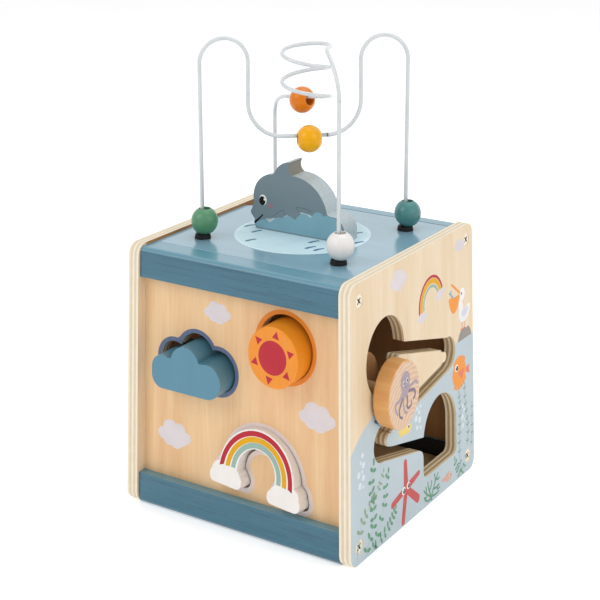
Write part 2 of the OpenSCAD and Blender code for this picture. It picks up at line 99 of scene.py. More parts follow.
class Graph:
    """One node material under construction."""

    def __init__(self, name):
        self.mat = bpy.data.materials.new(name)
        self.mat.use_nodes = True
        self.tree = self.mat.node_tree
        self.tree.nodes.clear()
        self.out = self.add("ShaderNodeOutputMaterial")
        self.bsdf = self.add("ShaderNodeBsdfPrincipled")
        self.tree.links.new(self.bsdf.outputs[0], self.out.inputs[0])
        self.coords = self.add("ShaderNodeTexCoord").outputs["Object"]

    def add(self, kind, **settings):
        node = self.tree.nodes.new(kind)
        for key, value in settings.items():
            setattr(node, key, value)
        return node

    def put(self, socket, value):
        """Links a socket, or sets its plain value."""
        if isinstance(value, bpy.types.NodeSocket):
            self.tree.links.new(value, socket)
        else:
            socket.default_value = value

    def math(self, operation, *values):
        node = self.add("ShaderNodeMath", operation=operation)
        for socket, value in zip(node.inputs, values):
            self.put(socket, value)
        return node.outputs[0]

    def mix(self, share, a, b, blend="MIX"):
        node = self.add("ShaderNodeMix", data_type="RGBA", blend_type=blend)
        self.put(node.inputs["Factor"], share)
        self.put(node.inputs["A"], a)
        self.put(node.inputs["B"], b)
        return node.outputs["Result"]

    def remap(self, value, low, high, to_low=0.0, to_high=1.0):
        """Clamped linear change of range."""
        node = self.add("ShaderNodeMapRange", clamp=True)
        for socket, v in zip(node.inputs, (value, low, high, to_low, to_high)):
            self.put(socket, v)
        return node.outputs[0]

    def stretched(self, axis, squeeze, offset=0.0):
        """Object coordinates squeezed along one axis, which draws textures out along it."""
        node = self.add("ShaderNodeMapping")
        scale = [1.0, 1.0, 1.0]
        scale[axis] = squeeze
        self.put(node.inputs["Vector"], self.coords)
        node.inputs["Scale"].default_value = scale
        node.inputs["Location"].default_value = (offset, offset * 0.7, offset * 1.3)
        return node.outputs[0]

    def noise(self, vector, scale, detail=3.0, rough=0.5, distortion=0.0):
        node = self.add("ShaderNodeTexNoise")
        self.put(node.inputs["Vector"], vector)
        node.inputs["Scale"].default_value = scale
        node.inputs["Detail"].default_value = detail
        node.inputs["Roughness"].default_value = rough
        node.inputs["Distortion"].default_value = distortion
        return node.outputs["Fac"]

    def part(self, axis):
        """One coordinate, in metres."""
        node = self.add("ShaderNodeSeparateXYZ")
        self.put(node.inputs[0], self.coords)
        return node.outputs[axis]

    def facing(self, axis):
        """One component of the true normal."""
        node = self.add("ShaderNodeSeparateXYZ")
        self.put(node.inputs[0], self.add("ShaderNodeNewGeometry").outputs["True Normal"])
        return node.outputs[axis]

    def bump(self, height, strength, distance):
        node = self.add("ShaderNodeBump")
        node.inputs["Strength"].default_value = strength
        node.inputs["Distance"].default_value = distance
        self.put(node.inputs["Height"], height)
        self.put(self.bsdf.inputs["Normal"], node.outputs[0])

    def turned_from(self, axis):
        """0 on the faces square to the axis, 1 on those along it, such as the edges of a panel."""
        return self.remap(self.math("ABSOLUTE", self.facing(axis)), 0.80, 0.55)

    def done(self, colour, roughness, metallic=0.0, coat=0.0, shine=0.3):
        self.put(self.bsdf.inputs["Base Color"], colour)
        self.put(self.bsdf.inputs["Specular IOR Level"], shine)
        self.put(self.bsdf.inputs["Roughness"], roughness)
        self.put(self.bsdf.inputs["Metallic"], metallic)
        self.put(self.bsdf.inputs["Coat Weight"], coat)
        self.bsdf.inputs["Coat Roughness"].default_value = 0.12
        return self.mat


def grain(g, axis, seed):
    """Broad figure, fine fibres and short dark flecks of wood that runs along axis; each 0 to 1."""
    figure = g.noise(g.stretched(axis, 0.10, seed), 55.0, 4.0, 0.55, 0.6)
    fibre = g.noise(g.stretched(axis, 0.025, seed + 3.1), 950.0, 4.0, 0.6)
    fleck = g.noise(g.stretched(axis, 0.07, seed + 7.7), 1500.0, 1.0, 0.5)
    return figure, fibre, g.remap(fleck, 0.66, 0.74)


def bare_colour(g, axis, seed, light, dark):
    """Sanded, clear-lacquered birch: its colour and a height for the bump."""
    figure, fibre, fleck = grain(g, axis, seed)
    colour = g.mix(g.remap(figure, 0.32, 0.68), rgb(light), rgb(dark))
    colour = g.mix(g.remap(fibre, 0.35, 0.70, 0.0, 0.15), colour, rgb(dark), "MULTIPLY")
    colour = g.mix(g.math("MULTIPLY", fleck, 0.16), colour, rgb("#b98a58"))
    return colour, fibre


def painted_inside_shade(g, colour, axis, sign):
    """Painted shade: a darker colour on the face that looks into the box. A side's lip before the front
    stays pale.
    """
    inward = g.remap(g.math("MULTIPLY", g.facing(axis), sign), 0.75, 0.9)
    if axis == X:
        inward = g.math("MULTIPLY", inward, g.remap(g.part(Y), FACE_Y * MM, (FACE_Y + 1) * MM))
    # painted shade: the inner face is multiplied by a warm brown
    return g.mix(inward, colour, g.mix(1.0, colour, rgb("#cda783"), "MULTIPLY"))


def ply_layers(g, axis, low, high, colour, rim):
    """Plywood's edge: veneers in turn across the thickness, pale and even on the sanded rim (rim = 1)."""
    wander = g.noise(g.coords, 260.0, 3.0, 0.6)
    depth = g.remap(g.part(axis), low * MM, high * MM)
    depth = g.math("ADD", depth, g.math("MULTIPLY", g.math("SUBTRACT", wander, 0.5), 0.03))
    turn = g.math("MULTIPLY", depth, float(VENEERS))
    odd = g.math("MODULO", g.math("FLOOR", turn), 2.0)
    near = g.math("PINGPONG", turn, 0.5)
    streak = g.remap(g.noise(g.stretched(axis, 9.0, 2.0), 160.0, 4.0, 0.7), 0.3, 0.7)

    def veneer(cut, cut_streak, sanded, sanded_streak):
        in_hole = g.mix(streak, rgb(cut), rgb(cut_streak))
        return g.mix(rim, in_hole, g.mix(streak, rgb(sanded), rgb(sanded_streak)))

    cream = veneer("#fbf0d6", "#ecd9b4", "#efe5d4", "#e5d9c3")
    brown = veneer("#ccae85", "#b6966b", "#dfd1b8", "#d2c1a2")
    edge = g.mix(odd, cream, brown)
    glue = g.mix(rim, rgb("#8a6c48"), rgb("#bfaa86"))
    edge = g.mix(g.remap(near, 0.0, 0.07, 0.5, 0.0), edge, glue)
    is_edge = g.turned_from(axis)
    return g.mix(is_edge, colour, edge), is_edge


def outer_rim(g):
    """1 on the outer edges of a side panel, 0 in its openings."""
    across = g.math("DIVIDE", g.math("ABSOLUTE", g.part(Y)), SIDE_HI.y * MM)
    middle = SIDE_HI.z / 2 * MM
    along = g.math("DIVIDE", g.math("ABSOLUTE", g.math("SUBTRACT", g.part(Z), middle)), middle)
    return g.remap(g.math("MAXIMUM", across, along), 0.86, 0.90)


def plywood(name, axis, grain_axis, node, seed, light="#f0dcc0", dark="#e0c6a2", inside=0):
    """Birch plywood, its thickness along axis; inside is the sign of the face that looks into the box, which
    gets painted shade.
    """
    g = Graph(name)
    lo, hi = span(node)
    colour, fibre = bare_colour(g, grain_axis, seed, light, dark)
    if inside:
        colour = painted_inside_shade(g, colour, axis, inside)
    colour, is_edge = ply_layers(g, axis, lo[axis], hi[axis], colour, outer_rim(g))
    g.bump(fibre, 0.10, 0.0002)
    return g.done(colour, g.mix(is_edge, g.remap(fibre, 0.3, 0.7, 0.42, 0.52), (0.62,) * 3 + (1.0,)))


def solid_wood(name, axis, seed, light, dark, face=None, pith=(0.0, 0.0, 0.0)):
    """Lacquered solid wood with its grain along axis. face = (pale, deep) shows growth rings about pith
    where it is cut across."""
    g = Graph(name)
    colour, fibre = bare_colour(g, axis, seed, light, dark)
    streaks = g.noise(g.stretched(axis, 0.05, seed + 5), 140.0, 3.0, 0.6, 0.6)
    colour = g.mix(g.remap(streaks, 0.45, 0.70, 0.0, 0.22), colour, rgb(dark), "MULTIPLY")
    if face:
        spot = g.add("ShaderNodeMapping")
        g.put(spot.inputs["Vector"], g.coords)
        spot.inputs["Location"].default_value = [-c * MM for c in pith]
        wave = g.add("ShaderNodeTexWave", wave_type="RINGS", rings_direction="XYZ"[axis], wave_profile="SAW")
        g.put(wave.inputs["Vector"], spot.outputs[0])
        for key, value in (("Scale", 95.0), ("Distortion", 5.0), ("Detail", 3.0), ("Detail Scale", 1.2)):
            wave.inputs[key].default_value = value
        pale, deep = face
        cut = g.mix(g.remap(wave.outputs["Fac"], 0.35, 0.95), rgb(pale), rgb(deep))
        pores = g.remap(g.noise(g.coords, 2500.0, 2.0, 0.5), 0.55, 0.75, 0.0, 0.3)
        cut = g.mix(pores, cut, rgb(deep), "MULTIPLY")
        colour = g.mix(g.remap(g.math("ABSOLUTE", g.facing(axis)), 0.75, 0.95), colour, cut)
    g.bump(fibre, 0.08, 0.0002)
    return g.done(colour, g.remap(fibre, 0.3, 0.7, 0.4, 0.52), coat=0.1)


def sea_panel():
    """Right side panel: bare birch above, pale blue water below a rolling shoreline."""
    g = Graph("right_side_wood")
    colour, fibre = bare_colour(g, Z, 1.7, "#e8d5ba", "#dec7a4")
    shore = g.add("ShaderNodeFloatCurve")
    points = [(-91.5, 72), (-80, 80), (-70, 85), (-60, 88), (-48, 86), (-30, 76), (0, 80), (50, 87)]
    points += [(62, 97.5), (91.5, 97.5)]
    curve = shore.mapping.curves[0]
    scaled = [((y - SIDE_LO.y) / (SIDE_HI.y - SIDE_LO.y), z / SIDE_HI.z) for y, z in points]
    curve.points[0].location = scaled[0]
    curve.points[1].location = scaled[-1]
    for spot in scaled[1:-1]:
        curve.points.new(*spot)
    shore.mapping.update()
    along = g.remap(g.part(Y), SIDE_LO.y * MM, SIDE_HI.y * MM)
    g.put(shore.inputs["Value"], along)
    level = g.math("SUBTRACT", g.math("MULTIPLY", shore.outputs[0], SIDE_HI.z * MM), g.part(Z))
    wet = g.math("MULTIPLY", g.remap(level, -0.0002, 0.0002), g.remap(g.facing(X), 0.75, 0.9))
    wash = g.noise(g.coords, 30.0, 3.0, 0.5)
    sea = g.mix(g.remap(wash, 0.3, 0.7), rgb("#b8c5ca"), rgb("#b1bfc5"))
    sea = g.mix(g.remap(fibre, 0.4, 0.75, 0.0, 0.18), sea, rgb("#a6b6bd"))
    colour = g.mix(wet, colour, sea)
    # painted shade on the face that looks into the box
    colour = painted_inside_shade(g, colour, X, -1)
    colour, is_edge = ply_layers(g, X, SIDE_LO.x, SIDE_HI.x, colour, outer_rim(g))
    g.bump(fibre, 0.10, 0.0002)
    return g.done(colour, g.mix(is_edge, g.remap(fibre, 0.3, 0.7, 0.40, 0.50), (0.62,) * 3 + (1.0,)))


def stained(
    name, light, dark, pore, axis, seed, gloss=0.38, coat=0.15, open_pores=0.6,
    cut=None, hollow_shade=None, inward=None,
):
    """Wood under coloured stain, darker in its pores. cut = (axis, colour) recolours the faces along the
    axis; on the dolphin these paler sides are partly its own colour and partly painted highlight from above.
    hollow_shade = (height, colour) paints shade on those of them above a height that face right. inward =
    (axis, sign) is for the rails: it paints near-black shade on the face that looks into the box and a
    highlight on the crown."""
    g = Graph(name)
    figure, fibre, fleck = grain(g, axis, seed)
    colour = g.mix(g.remap(figure, 0.3, 0.7), rgb(light), rgb(dark))
    pores = g.noise(g.stretched(axis, 0.035, seed + 11), 620.0, 5.0, 0.7)
    colour = g.mix(g.remap(pores, 0.50, 0.72, 0.0, open_pores), colour, rgb(pore))
    colour = g.mix(g.math("MULTIPLY", fleck, 0.5 * open_pores), colour, rgb(pore))
    speckle = g.noise(g.coords, 1400.0, 2.0, 0.6)
    colour = g.mix(g.remap(speckle, 0.58, 0.72, 0.0, 0.22), colour, rgb(pore))
    if cut:
        # faces along the cut axis: their own paler colour, partly painted highlight where light falls from
        # above
        side_paint_and_light = g.mix(g.remap(speckle, 0.45, 0.7, 0.0, 0.5), rgb(cut[1]), rgb(pore))
        if hollow_shade:
            # painted shade in the fin's hollow: right-facing faces above the height turn dark brownish grey
            above = g.remap(g.part(Z), hollow_shade[0], hollow_shade[0] + 0.003)
            shaded = g.math("MULTIPLY", above, g.remap(g.facing(X), 0.2, 0.6))
            side_paint_and_light = g.mix(shaded, side_paint_and_light, rgb(hollow_shade[1]))
        colour = g.mix(g.turned_from(cut[0]), colour, side_paint_and_light)
    if inward:
        # painted shade, near black, on the face that looks into the box, and a painted highlight on the
        # crown
        painted_inner_shade = g.remap(g.math("MULTIPLY", g.facing(inward[0]), inward[1]), 0.35, 0.6)
        painted_crown_highlight = g.mix(g.remap(g.facing(Z), 0.25, 0.9, 0.0, 0.45), colour, rgb("#7cb5c8"))
        colour = g.mix(painted_inner_shade, painted_crown_highlight, rgb("#10202b"))
    g.bump(g.math("SUBTRACT", fibre, g.math("MULTIPLY", pores, 0.8)), 0.3 * open_pores, 0.0003)
    return g.done(colour, g.remap(fibre, 0.3, 0.7, gloss, gloss + 0.08), coat=coat)


def ink(name, code, axis, cover):
    """Printed colour that lets a little of the grain through."""
    g = Graph("ink_" + name)
    fibre = g.noise(g.stretched(axis, 0.025, 4.0), 950.0, 4.0, 0.6)
    wash = g.noise(g.coords, 70.0, 2.0, 0.5)
    colour = g.mix(g.remap(fibre, 0.35, 0.75, 0.0, 1.0 - cover), rgb(code), rgb("#d8c3a0"))
    colour = g.mix(g.remap(wash, 0.35, 0.65, 0.0, 0.06), colour, (0.0, 0.0, 0.0, 1.0))
    g.bump(fibre, 0.06, 0.0001)
    return g.done(colour, g.remap(fibre, 0.3, 0.7, 0.42, 0.52), shine=0.15)


def lacquer(name, code, shade, seed, coat):
    """Glossy coloured lacquer on a turned bead or block."""
    g = Graph(name)
    fibre = g.noise(g.stretched(Z, 0.06, seed), 700.0, 4.0, 0.6)
    cloudy = g.noise(g.coords, 120.0, 2.0, 0.5)
    colour = g.mix(g.remap(fibre, 0.40, 0.75, 0.0, 0.5), rgb(code), rgb(shade))
    colour = g.mix(g.remap(cloudy, 0.3, 0.7, 0.0, 0.2), colour, rgb(shade))
    g.bump(fibre, 0.05, 0.0001)
    g.bsdf.inputs["Specular Tint"].default_value = rgb(code)
    return g.done(colour, g.remap(cloudy, 0.3, 0.7, 0.30, 0.42), coat=coat, shine=0.4)


def coated_wire():
    """Steel wire in a pale plastic coat."""
    g = Graph("wire_coat")
    mottle = g.noise(g.coords, 90.0, 3.0, 0.6)
    colour = g.mix(g.remap(mottle, 0.3, 0.7), rgb("#d3d6d8"), rgb("#cacfd1"))
    g.bump(mottle, 0.02, 0.0001)
    return g.done(colour, g.remap(mottle, 0.3, 0.7, 0.22, 0.32), coat=0.5)


def screw_steel():
    """Plated screw, with painted shade, near black, at the bottom of its cross recess."""
    g = Graph("screw_steel")
    scratch = g.noise(g.stretched(X, 0.3, 1.0), 1800.0, 4.0, 0.7)
    colour = g.mix(g.remap(scratch, 0.3, 0.7), rgb("#f4ecda"), rgb("#cfc3ab"))
    outward = g.math("ABSOLUTE", g.part(X))
    mouth = (FACE_X - SCREW_RECESS) * MM
    # painted shade: below the recess mouth the colour turns near black
    colour = g.mix(g.remap(outward, mouth, mouth - 0.0003), colour, rgb("#171513"))
    g.bump(scratch, 0.2, 0.0001)
    return g.done(colour, g.remap(scratch, 0.3, 0.7, 0.25, 0.45), metallic=0.8)


def rubber():
    g = Graph("black_rubber")
    pits = g.noise(g.coords, 1500.0, 3.0, 0.6)
    g.bump(pits, 0.2, 0.0001)
    colour = g.mix(pits, rgb("#0b0b0c"), rgb("#18181a"))
    return g.done(colour, g.remap(pits, 0.3, 0.7, 0.42, 0.6), shine=0.2)


# ---------------------------------------------------------------- meshes


def shown(name, mesh, body, materials):
    """Links a mesh as a visible piece that rides on a body."""
    obj = bpy.data.objects.new(name, mesh)
    bpy.context.scene.collection.objects.link(obj)
    for material in materials:
        mesh.materials.append(material)
    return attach(obj, body)


def soften(node, material, width=0.6, segments=2, sharp=28.0):
    """Copy of a CAD node with every hard edge rounded; it stands for the node."""
    bm = bmesh.new()
    bm.from_mesh(nodes[node].data)
    bmesh.ops.remove_doubles(bm, verts=bm.verts, dist=WELD)
    bmesh.ops.dissolve_limit(bm, angle_limit=math.radians(0.6), verts=bm.verts, edges=bm.edges)
    hard = [e for e in bm.edges if e.is_manifold and e.calc_face_angle() > math.radians(sharp)]
    bmesh.ops.bevel(
        bm, geom=hard, offset=width * MM, segments=segments, profile=0.5, affect="EDGES", clamp_overlap=True
    )
    bmesh.ops.triangulate(bm, faces=[f for f in bm.faces if len(f.verts) > 4])
    bmesh.ops.recalc_face_normals(bm, faces=bm.faces)
    for face in bm.faces:
        face.smooth = True
    mesh = bpy.data.meshes.new(node + "_soft")
    bm.to_mesh(mesh)
    bm.free()
    obj = shown(node + "_finish", mesh, nodes[node]["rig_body"], [material])
    normals = obj.modifiers.new("normals", "WEIGHTED_NORMAL")
    normals.keep_sharp = True
    normals.weight = 80
    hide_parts(node)


def plain(node, material):
    """Keeps the CAD node's own shape, welded and smooth."""
    obj = nodes[node]
    obj.data.materials.clear()
    obj.data.materials.append(material)
    weld = obj.modifiers.new("weld", "WELD")
    weld.merge_threshold = WELD


class Sheet:
    """Printed shapes on one flat face, gathered into one mesh. place(u, v, lift) gives the point in mm."""

    # thickness of one layer of print, in mm
    STEP = 0.012

    def __init__(self, name, body, place):
        self.name, self.body, self.place = name, body, place
        self.points, self.faces, self.slots, self.inks = [], [], [], []

    def add(self, colour, outline, level=1, holes=()):
        """A filled outline in one ink; a higher level covers a lower one."""
        loops = [list(outline)] + [list(h) for h in holes]
        flat = [Vector((u, v, 0.0)) for loop in loops for u, v in loop]
        start = len(self.points)
        self.points += [self.place(p.x, p.y, level * self.STEP) for p in flat]
        if colour not in self.inks:
            self.inks.append(colour)
        slot = self.inks.index(colour)
        for tri in tessellate_polygon([[Vector((u, v, 0.0)) for u, v in loop] for loop in loops]):
            self.faces.append([start + i for i in tri])
            self.slots.append(slot)

    def build(self, outward):
        """Makes the mesh, with every face turned outward."""
        mesh = bpy.data.meshes.new(self.name)
        mesh.from_pydata([Vector(p) * MM for p in self.points], [], self.faces)
        mesh.update()
        for face, slot in zip(mesh.polygons, self.slots):
            face.material_index = slot
        bm = bmesh.new()
        bm.from_mesh(mesh)
        backward = [f for f in bm.faces if f.normal.dot(Vector(outward)) < 0]
        bmesh.ops.reverse_faces(bm, faces=backward)
        bmesh.ops.dissolve_degenerate(bm, dist=1e-7, edges=bm.edges)
        bm.to_mesh(mesh)
        bm.free()
        shown(self.name, mesh, self.body, self.inks)


# ---------------------------------------------------------------- flat shapes (mm)


def turned(points, degrees, about=(0.0, 0.0)):
    c, s = math.cos(math.radians(degrees)), math.sin(math.radians(degrees))
    out = []
    for u, v in points:
        du, dv = u - about[0], v - about[1]
        out.append((about[0] + du * c - dv * s, about[1] + du * s + dv * c))
    return out


def moved(points, du, dv):
    return [(u + du, v + dv) for u, v in points]


def oval(at, ru, rv, turn=0.0, n=32):
    ring = [(ru * math.cos(2 * math.pi * i / n), rv * math.sin(2 * math.pi * i / n)) for i in range(n)]
    return moved(turned(ring, turn), *at)


def disc(at, r, n=28):
    return oval(at, r, r, 0.0, n)


def arc(at, r, a0, a1, n=24):
    angles = [math.radians(a0 + (a1 - a0) * i / n) for i in range(n + 1)]
    return [(at[0] + r * math.cos(a), at[1] + r * math.sin(a)) for a in angles]


def arc_band(at, r0, r1, a0, a1, n=36):
    return arc(at, r1, a0, a1, n) + arc(at, r0, a1, a0, n)


def spline(points, per=6, closed=False):
    """Smooth line through the points (Catmull-Rom)."""
    count = len(points)
    last = count if closed else count - 1
    out = []
    for i in range(last):
        if closed:
            p = [points[(i + k) % count] for k in (-1, 0, 1, 2)]
        else:
            p = [points[min(max(i + k, 0), count - 1)] for k in (-1, 0, 1, 2)]
        for j in range(per):
            t = j / per
            spot = []
            for a, b, c, d in zip(*p):
                square, cube = 2 * a - 5 * b + 4 * c - d, 3 * b - a - 3 * c + d
                spot.append(0.5 * (2 * b + (c - a) * t + square * t * t + cube * t**3))
            out.append(tuple(spot))
    if not closed:
        out.append(tuple(points[-1]))
    return out


def stroke(points, w0, w1=None, per=5):
    """Brush stroke along a smooth line, from width w0 to w1, with rounded ends."""
    w1 = w0 if w1 is None else w1
    line = spline(points, per)
    n = len(line) - 1
    left, right = [], []
    for i, (u, v) in enumerate(line):
        a, b = line[max(i - 1, 0)], line[min(i + 1, n)]
        du, dv = b[0] - a[0], b[1] - a[1]
        size = math.hypot(du, dv) or 1.0
        half = 0.5 * (w0 + (w1 - w0) * i / n)
        left.append((u - dv / size * half, v + du / size * half))
        right.append((u + dv / size * half, v - du / size * half))

    def cap(tip, toward, half):
        base = math.degrees(math.atan2(toward[1], toward[0]))
        return arc(tip, half, base + 90, base - 90, 6)[1:-1]

    end_dir = (line[n][0] - line[n - 1][0], line[n][1] - line[n - 1][1])
    start_dir = (line[0][0] - line[1][0], line[0][1] - line[1][1])
    return left + cap(line[n], end_dir, 0.5 * w1) + right[::-1] + cap(line[0], start_dir, 0.5 * w0)


def leaf(at, angle, length, width):
    """Narrow pointed leaf that grows from at."""
    shape = [(0, 0), (0.3, 0.42), (0.62, 0.48), (1, 0), (0.62, -0.48), (0.3, -0.42)]
    scaled = [(u * length, v * width) for u, v in shape]
    return moved(turned(spline(scaled, 4, closed=True), angle), *at)


def lobed(at, discs, floor=None, n=96):
    """Outline of a cloud: the union of discs (du, dv, r) seen from at, cut flat at floor."""
    out = []
    for i in range(n):
        a = 2 * math.pi * i / n
        du, dv = math.cos(a), math.sin(a)
        reach = 0.0
        for cu, cv, r in discs:
            along = cu * du + cv * dv
            inside = r * r - (cu * cu + cv * cv - along * along)
            if inside > 0:
                reach = max(reach, along + math.sqrt(inside))
        if floor is not None and dv < 0:
            reach = min(reach, floor / dv)
        out.append((at[0] + du * reach, at[1] + dv * reach))
    return out


def puff(at, w, h):
    """Small printed cloud: four bumps above, three below."""
    lobes = [(-0.33, -0.02, 0.17), (-0.12, 0.17, 0.22), (0.14, 0.14, 0.2), (0.34, -0.02, 0.16)]
    lobes += [(-0.16, -0.14, 0.18), (0.06, -0.18, 0.19), (0.22, -0.1, 0.17), (0, 0, 0.26)]
    shape = lobed((0, 0), lobes)
    us, vs = [p[0] for p in shape], [p[1] for p in shape]
    ku, kv = w / (max(us) - min(us)), h / (max(vs) - min(vs))
    return [(at[0] + u * ku, at[1] + v * kv) for u, v in shape]


def hole_loops(node, axis, level):
    """Outlines of a CAD panel's face at one level: the outer one first, then its holes, in mm."""
    bm = bmesh.new()
    bm.from_mesh(nodes[node].data)
    bmesh.ops.remove_doubles(bm, verts=bm.verts, dist=WELD)
    flat = {f for f in bm.faces if all(abs(v.co[axis] / MM - level) < 0.01 for v in f.verts)}
    rim = [e for e in bm.edges if len([f for f in e.link_faces if f in flat]) == 1]
    follow = {}
    for e in rim:
        for a, b in (e.verts, reversed(e.verts)):
            follow.setdefault(a, []).append(b)
    keep = [i for i in range(3) if i != axis]
    loops, seen = [], set()
    for start in list(follow):
        if start in seen:
            continue
        loop, here, back = [], start, None
        while here not in seen:
            seen.add(here)
            loop.append(tuple(here.co[i] / MM for i in keep))
            onward = [v for v in follow[here] if v is not back and v not in seen]
            if not onward:
                break
            back, here = here, onward[0]
        loops.append(loop)
    bm.free()
    loops.sort(key=lambda lp: -(max(p[0] for p in lp) - min(p[0] for p in lp)))
    return loops


def area(loop):
    """Signed area, positive for a loop that runs anticlockwise."""
    return 0.5 * sum(a[0] * b[1] - b[0] * a[1] for a, b in zip(loop, loop[1:] + loop[:1]))


def far_enough(p, loop, d):
    """True if no side of the loop comes clearly nearer to the point than d."""
    for a, b in zip(loop, loop[1:] + loop[:1]):
        eu, ev = b[0] - a[0], b[1] - a[1]
        t = ((p[0] - a[0]) * eu + (p[1] - a[1]) * ev) / ((eu * eu + ev * ev) or 1.0)
        t = min(1.0, max(0.0, t))
        if math.hypot(p[0] - a[0] - t * eu, p[1] - a[1] - t * ev) < d - 0.02:
            return False
    return True


def grown(loop, d):
    """The loop moved outwards by d, without the crossings that this would leave in tight corners."""
    if area(loop) < 0:
        loop = loop[::-1]
    out = []
    for a, b in zip(loop, loop[1:] + loop[:1]):
        eu, ev = b[0] - a[0], b[1] - a[1]
        size = math.hypot(eu, ev)
        if size < 1e-6:
            continue
        nu, nv = ev / size * d, -eu / size * d
        steps = max(1, int(size / 1.0))
        for i in range(steps):
            t = (i + 0.5) / steps
            p = (a[0] + eu * t + nu, a[1] + ev * t + nv)
            if far_enough(p, loop, abs(d)) and (not out or math.dist(out[-1], p) > 0.15):
                out.append(p)
    return out


# ---------------------------------------------------------------- case

BIRCH_FRONT = plywood("front_wood", Y, Z, "front_panel", 5.3, "#ebca9f", "#deb486", 1)
soften("right_side_panel", sea_panel(), 0.8, 3)
soften("left_side_panel", plywood("left_side_wood", X, Z, "left_side_panel", 2.4, inside=1), 0.8, 3)
soften("front_panel", BIRCH_FRONT, 0.35, 2)
soften("back_panel", plywood("back_wood", Y, Z, "back_panel", 8.1, inside=-1), 0.4, 2)
soften("floor_panel", plywood("floor_wood", Z, X, "floor_panel", 9.4, "#dfbd90", "#c79f6c"), 0.4, 2)
RAILS = {"top_front_rail": 1, "top_back_rail": -1, "bottom_front_rail": 1, "bottom_back_rail": -1}
for number, (rail, inner_side) in enumerate(RAILS.items()):
    seed = 3.0 + 5 * number
    towards_box = (Y, inner_side)
    # the rail's stain carries painted shade on its inner face and a painted highlight on its crown
    stain = stained(rail + "_stain", "#3a7085", "#336478", "#1d4456", X, seed, 0.26, 0.5, inward=towards_box)
    soften(rail, stain, 1.8, 4)
for node in ("right_side_screws", "left_side_screws"):
    plain(node, screw_steel())

# ---------------------------------------------------------------- lid

soften("top_panel", stained("lid_stain", "#84aabb", "#7ba1b3", "#6c94a7", X, 13.0, 0.16, 0.5, 0.12), 0.5, 2)
soften("wire_grommets", rubber(), 0.3, 2)
wire_coat = coated_wire()
for node in ("wave_wire", "spiral_wire"):
    plain(node, wire_coat)
FIN_FOOT = (DOLPHIN_HI.z - 13) * MM
# the dolphin's paler sides are partly painted highlight from above; the fin's hollow gets painted shade
DOLPHIN_GREY = stained(
    "dolphin_paint_and_light", "#78888f", "#718189", "#64757d", X, 21.0, 0.42, 0.05, 0.08,
    cut=(Y, "#bcc8cc"), hollow_shade=(FIN_FOOT, "#85857d"),
)
soften("dolphin", DOLPHIN_GREY, 0.9, 3, 40)
soften("dolphin_dowels", solid_wood("dowel_wood", Z, 30.0, "#ecd2a8", "#dcb986"), 0.2, 1)

# ---------------------------------------------------------------- blocks, slider, beads

CLOUD_BLUE = stained("cloud_paint", "#56889d", "#508297", "#44758b", Z, 31.0, 0.3, 0.3, 0.2)
SUN_ORANGE = stained("sun_paint", "#ee9520", "#e88914", "#d8780b", Z, 37.0, 0.38, 0.2, 0.2)
soften("cloud_block", CLOUD_BLUE, 1.6, 4)
soften("sun_block", SUN_ORANGE, 1.1, 3)
soften("rainbow_block", lacquer("rainbow_paint", "#ebe7e3", "#e0dbd5", 41.0, 0.2), 0.9, 3)
KNOB_WOOD = solid_wood("knob_wood", X, 43.0, "#e5b071", "#d89c5c", ("#dcbda1", "#cda789"), (0, -36, 74))
soften("slider_knob", KNOB_WOOD, 1.2, 3)
soften("slider_neck", solid_wood("neck_wood", X, 47.0, "#ecd2a8", "#dcb986"), 0.3, 2)
# the back disc is darker wood than the neck: painted shade for the disc behind the side panel
soften("slider_back_disc", solid_wood("back_disc_shaded_wood", Z, 51.0, "#dcae7c", "#c69462"), 0.8, 2)
BEADS = {
    "green_bead": ("#598f6b", "#4a7e5b"),
    "teal_bead": ("#508583", "#427576"),
    "white_bead": ("#eae6e3", "#ddd7d3"),
    "yellow_bead": ("#eeaa00", "#e29a00"),
    "orange_bead": ("#e07c06", "#d06e02"),
}
for number, (bead, (code, shade)) in enumerate(BEADS.items()):
    soften(bead, lacquer(bead + "_lacquer", code, shade, 60.0 + number, 0.45), 0.7, 3, 40)

# ---------------------------------------------------------------- printed pictures

INK = {
    "cloud": "#d9d1d5",
    "white": "#eceae8",
    "red": "#b82e3c",
    "amber": "#dfa60c",
    "mint": "#93b3a9",
    "coral": "#c24e53",
    "orange": "#f0963a",
    "tangerine": "#e98f30",
    "salmon": "#e27860",
    "black": "#080708",
    "olive": "#4d4a40",
    "leaf": "#5f927a",
    "stem": "#9dbbae",
    "moss": "#8b9d86",
    "vine": "#7b9f9b",
    "bubble": "#d3dde3",
    "rock": "#928c88",
    "wing": "#d3d6e2",
    "pink": "#d8a79b",
    "lemon": "#e9cf73",
    "navy": "#3d6c8f",
    "slate": "#5c6c8c",
    "rim_orange": "#e3872a",
    "rim_white": "#e3d3cf",
    "lilac": "#a5969f",
    "plum": "#82717e",
    "pond": "#c9e6f0",
    "pond_rim": "#cfe9f2",
    "ripple": "#3d6d92",
    "wave": "#7dabbb",
    "crest": "#b4c6cc",
    "line": "#54646e",
    "blush": "#a86f76",
}
# Inks that hide the grain almost wholly
DENSE = ("black", "red", "white")
inks = {}


def tone(name, axis=Z):
    """The ink of that name over grain along axis, made when first used."""
    key = name if axis == Z else name + "_x"
    if key not in inks:
        inks[key] = ink(key, INK[name], axis, 0.98 if name in DENSE else 0.9)
    return inks[key]


def eyes(sheet, at, r, level, pupil="black"):
    """White eye with a pupil that looks aside and a small glint."""
    sheet.add(tone("white"), disc(at, r), level)
    look = (at[0] + 0.25 * r, at[1] - 0.12 * r)
    sheet.add(tone(pupil), disc(look, 0.66 * r), level + 1)
    sheet.add(tone("white"), disc((look[0] - 0.25 * r, look[1] + 0.3 * r), 0.17 * r, 12), level + 2)


SCREW_CLEAR = 6.5


